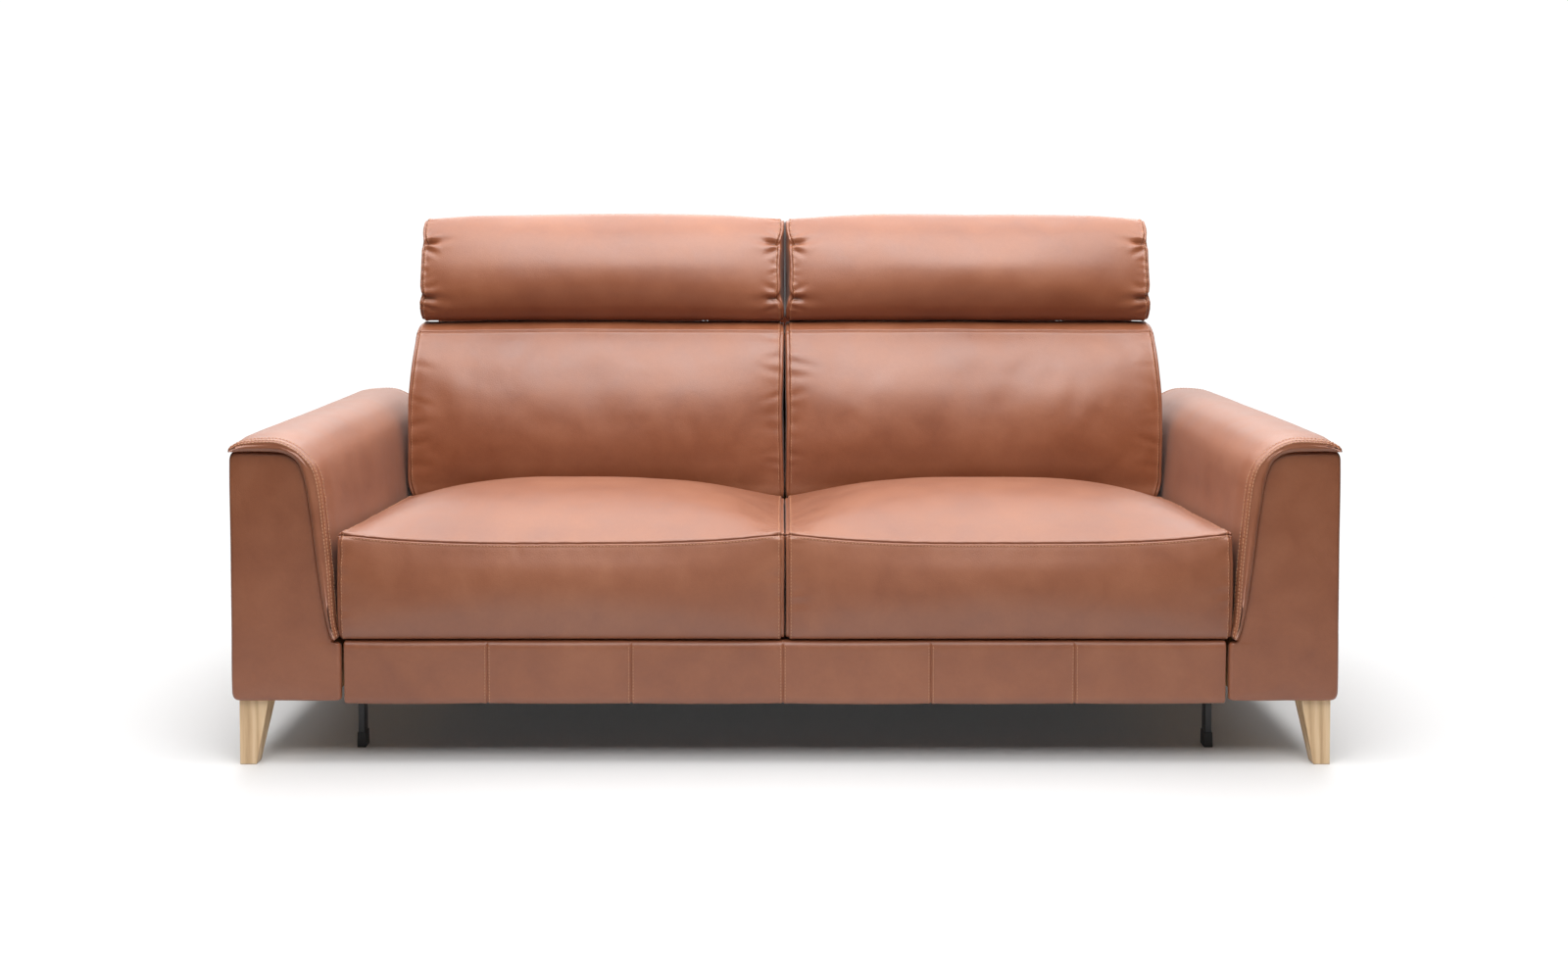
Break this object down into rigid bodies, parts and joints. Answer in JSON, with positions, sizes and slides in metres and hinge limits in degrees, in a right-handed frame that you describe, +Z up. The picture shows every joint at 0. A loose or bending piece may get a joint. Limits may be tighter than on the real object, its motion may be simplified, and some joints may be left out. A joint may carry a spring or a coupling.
{
  "type": "sofa",
  "caption": "Two-seat sofa with leather seat and back cushions, tilting raised headrests, sloping padded arms, tapered wooden legs and slim steel support legs.",
  "frame": {"origin": "centre of the sofa's footprint (its bounding box), on the floor", "axes": "+X along the seat to the viewer's right when facing the sofa, +Y from the front towards the back, +Z up; the sofa faces -Y"},
  "size_m": [2, 0.938, 1.0028],
  "materials": {
    "leather": "semi-gloss tan brown leather",
    "leg_wood": "pale clear-lacquered ash",
    "frame_wood": "sawn softwood",
    "plywood": "plain plywood",
    "black_steel": "satin black powder coat",
    "black_plastic": "matte black",
    "zinc_steel": "zinc plated",
    "spring_steel": "oiled spring wire",
    "dust_cloth": "thin black non-woven cloth"
  },
  "bodies": {
    "sofa_body": {"leg_front_left": "leg_wood", "leg_front_right": "leg_wood", "leg_rear_left": "leg_wood", "leg_rear_right": "leg_wood", "support_leg_left": "black_steel", "support_foot_left": "black_plastic", "support_leg_right": "black_steel", "support_foot_right": "black_plastic", "seat_rail_front": "frame_wood", "seat_rail_rear": "frame_wood", "seat_rail_left": "frame_wood", "seat_rail_right": "frame_wood", "seat_rail_centre": "frame_wood", "back_rail_bottom": "frame_wood", "back_rail_top": "frame_wood", "back_post_left": "frame_wood", "back_post_right": "frame_wood", "back_post_centre": "frame_wood", "back_support_panel": "plywood", "front_rail_cover": "leather", "back_outer_cover": "leather", "seat_spring_left_1": "spring_steel", "seat_spring_left_2": "spring_steel", "seat_spring_left_3": "spring_steel", "seat_spring_right_1": "spring_steel", "seat_spring_right_2": "spring_steel", "seat_spring_right_3": "spring_steel", "base_dust_cover": "dust_cloth", "seat_cushion_left": "leather", "back_cushion_left": "leather", "arm_cover_left": "leather", "arm_pad_left": "leather", "arm_inner_panel_left": "plywood", "arm_outer_panel_left": "plywood", "arm_front_post_left": "frame_wood", "arm_rear_post_left": "frame_wood", "hinge_base_left_1": "zinc_steel", "hinge_pin_left_1": "zinc_steel", "hinge_base_left_2": "zinc_steel", "hinge_pin_left_2": "zinc_steel", "seat_cushion_right": "leather", "back_cushion_right": "leather", "arm_cover_right": "leather", "arm_pad_right": "leather", "arm_inner_panel_right": "plywood", "arm_outer_panel_right": "plywood", "arm_front_post_right": "frame_wood", "arm_rear_post_right": "frame_wood", "hinge_base_right_1": "zinc_steel", "hinge_pin_right_1": "zinc_steel", "hinge_base_right_2": "zinc_steel", "hinge_pin_right_2": "zinc_steel"},
    "headrest_left": {"headrest_cushion_left": "leather", "headrest_board_left": "plywood", "hinge_arm_left_1": "zinc_steel", "hinge_arm_left_2": "zinc_steel"},
    "headrest_right": {"headrest_cushion_right": "leather", "headrest_board_right": "plywood", "hinge_arm_right_1": "zinc_steel", "hinge_arm_right_2": "zinc_steel"}
  },
  "joints": [
    {"name": "headrest_left_tilt", "type": "hinge", "parent": "sofa_body", "child": "headrest_left", "pos_m": [-0.3965, 0.345, 0.751], "axis": [-1, 0, 0], "range_deg": [0, 60]},
    {"name": "headrest_right_tilt", "type": "hinge", "parent": "sofa_body", "child": "headrest_right", "pos_m": [0.3965, 0.345, 0.751], "axis": [-1, 0, 0], "range_deg": [0, 60]}
  ]
}
